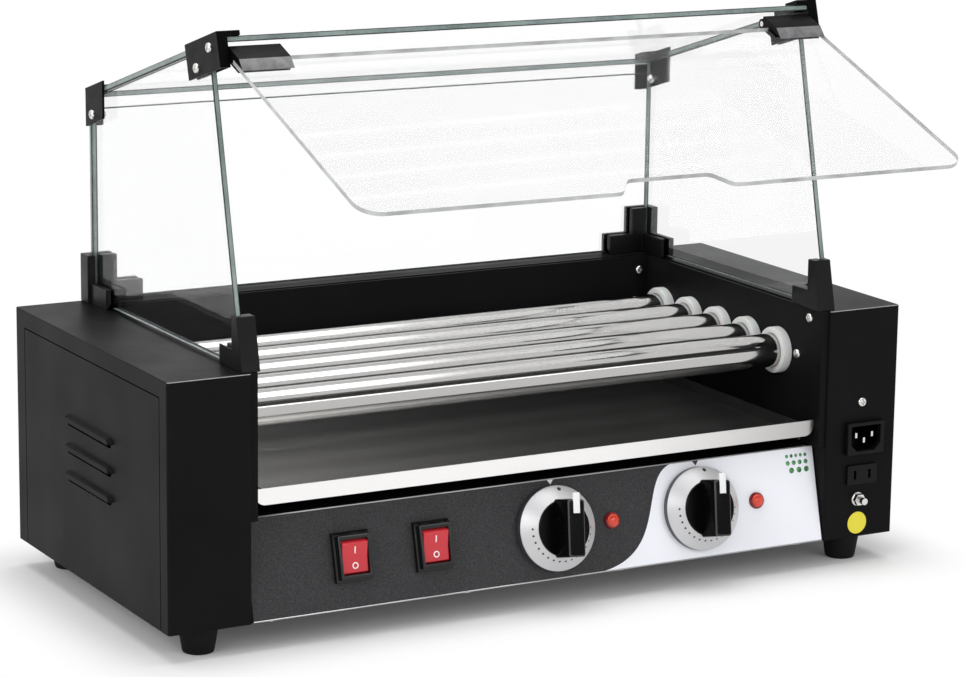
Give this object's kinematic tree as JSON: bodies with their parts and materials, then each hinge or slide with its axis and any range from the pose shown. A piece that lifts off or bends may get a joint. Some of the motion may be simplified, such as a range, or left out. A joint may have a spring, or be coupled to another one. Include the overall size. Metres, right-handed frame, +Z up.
{
  "type": "hot dog roller grill",
  "caption": "Table-top roller grill with chain-driven heated rollers, a sliding drip tray, a sloping control panel and a glass hood with a lifting front door.",
  "frame": {"origin": "middle of the whole machine's box with the door open, on the plane of the feet", "axes": "+X to the right along the rollers, +Y from the control panel to the back, +Z up"},
  "size_m": [0.586, 0.4228, 0.4118],
  "materials": {
    "black_paint": "satin black powder coat",
    "plated_steel": "zinc plated sheet",
    "stainless": "polished stainless steel",
    "heater_sheath": "heat-tinted steel sheath",
    "chain_steel": "oiled steel",
    "motor_can": "plated motor can",
    "bush_white": "white PTFE",
    "dark_film": "textured dark grey film",
    "light_film": "smooth white film",
    "black_plastic": "moulded black plastic",
    "clip_black": "black coated clips",
    "rubber": "black rubber",
    "skirt_silver": "satin silver",
    "rocker_red": "translucent red",
    "lamp_red": "red lens",
    "bright_screw": "nickel plated",
    "pin_metal": "nickel plated brass",
    "hood_glass": "clear float glass with green edges",
    "clear_acrylic": "clear acrylic sheet"
  },
  "bodies": {
    "frame": {"aux_outlet": "black_plastic", "base_pan": "black_paint", "clip_screws": "bright_screw", "control_panel": "black_paint", "dark_overlay": "dark_film", "door_hinge_pins": "bright_screw", "drive_chain": "chain_steel", "earth_stud": "bright_screw", "feet": "rubber", "front_base_brackets": "black_plastic", "front_top_clips": "clip_black", "gear_motor": "motor_can", "heater_brackets": "plated_steel", "heater_rods": "heater_sheath", "housing_screws": "bright_screw", "indicator_lamps": "lamp_red", "inlet_pins": "pin_metal", "left_end_housing": "black_paint", "left_roller_bushes": "bush_white", "left_roller_wall": "black_paint", "left_side_cover": "black_paint", "left_side_glass": "hood_glass", "light_overlay": "light_film", "motor_bracket": "plated_steel", "power_inlet": "black_plastic", "rear_base_brackets": "black_plastic", "rear_glass": "hood_glass", "rear_inner_wall": "black_paint", "rear_panel": "black_paint", "rear_top_clips": "clip_black", "right_end_housing": "black_paint", "right_roller_bushes": "bush_white", "right_roller_wall": "black_paint", "right_side_cover": "black_paint", "right_side_glass": "hood_glass", "switch_frames": "black_plastic", "terminal_block": "black_plastic", "thermostats": "black_plastic", "top_glass": "hood_glass", "tray_runners": "plated_steel"},
    "drip_tray": {"drip_tray": "stainless"},
    "door": {"front_door": "clear_acrylic", "door_hinge_clips": "clip_black"},
    "front_dial": {"front_dial_skirt": "skirt_silver", "front_knob": "black_plastic"},
    "rear_dial": {"rear_dial_skirt": "skirt_silver", "rear_knob": "black_plastic"},
    "rocker_1": {"rocker_1": "rocker_red"},
    "rocker_2": {"rocker_2": "rocker_red"},
    "motor_sprocket": {"motor_sprocket": "chain_steel"},
    "roller_1": {"roller_tube_1": "stainless", "roller_sprocket_1": "chain_steel"},
    "roller_2": {"roller_tube_2": "stainless", "roller_sprocket_2": "chain_steel"},
    "roller_3": {"roller_tube_3": "stainless", "roller_sprocket_3": "chain_steel"},
    "roller_4": {"roller_tube_4": "stainless", "roller_sprocket_4": "chain_steel"},
    "roller_5": {"roller_tube_5": "stainless", "roller_sprocket_5": "chain_steel"}
  },
  "joints": [
    {"name": "roller_1_spin", "type": "hinge", "parent": "frame", "child": "roller_1", "pos_m": [0, 0.00036, 0.1528], "axis": [1, 0, 0], "continuous": true, "deforming": ["drive_chain"]},
    {"name": "roller_2_spin", "type": "hinge", "parent": "frame", "child": "roller_2", "pos_m": [0, 0.04036, 0.1528], "axis": [1, 0, 0], "continuous": true},
    {"name": "roller_3_spin", "type": "hinge", "parent": "frame", "child": "roller_3", "pos_m": [0, 0.08036, 0.1528], "axis": [1, 0, 0], "continuous": true},
    {"name": "roller_4_spin", "type": "hinge", "parent": "frame", "child": "roller_4", "pos_m": [0, 0.12036, 0.1528], "axis": [1, 0, 0], "continuous": true},
    {"name": "roller_5_spin", "type": "hinge", "parent": "frame", "child": "roller_5", "pos_m": [0, 0.16036, 0.1528], "axis": [1, 0, 0], "continuous": true},
    {"name": "motor_spin", "type": "hinge", "parent": "frame", "child": "motor_sprocket", "pos_m": [-0.243, 0.08036, 0.06055], "axis": [1, 0, 0], "continuous": true},
    {"name": "door_swing", "type": "hinge", "parent": "frame", "child": "door", "pos_m": [0, -0.01464, 0.396], "axis": [-1, 0, 0], "range_deg": [-56, 20]},
    {"name": "tray_slide", "type": "slide", "parent": "frame", "child": "drip_tray", "axis": [0, -1, 0], "range_m": [0, 0.2]},
    {"name": "front_dial_turn", "type": "hinge", "parent": "frame", "child": "front_dial", "pos_m": [0.0067, -0.04755, 0.05495], "axis": [0, 0.9703, -0.2419], "range_deg": [0, 280]},
    {"name": "rear_dial_turn", "type": "hinge", "parent": "frame", "child": "rear_dial", "pos_m": [0.12669, -0.04755, 0.05495], "axis": [0, 0.9703, -0.2419], "range_deg": [0, 280]},
    {"name": "rocker_1_tip", "type": "hinge", "parent": "frame", "child": "rocker_1", "pos_m": [-0.1525, -0.05066, 0.05572], "axis": [-1, 0, 0], "range_deg": [0, 20]},
    {"name": "rocker_2_tip", "type": "hinge", "parent": "frame", "child": "rocker_2", "pos_m": [-0.0905, -0.05066, 0.05572], "axis": [-1, 0, 0], "range_deg": [0, 20]}
  ],
  "couplings": [
    {"joint": "roller_2_spin", "follows": "roller_1_spin", "ratio": 1},
    {"joint": "roller_3_spin", "follows": "roller_1_spin", "ratio": 1},
    {"joint": "roller_4_spin", "follows": "roller_1_spin", "ratio": 1},
    {"joint": "roller_5_spin", "follows": "roller_1_spin", "ratio": 1},
    {"joint": "motor_spin", "follows": "roller_1_spin", "ratio": 1.6}
  ]
}
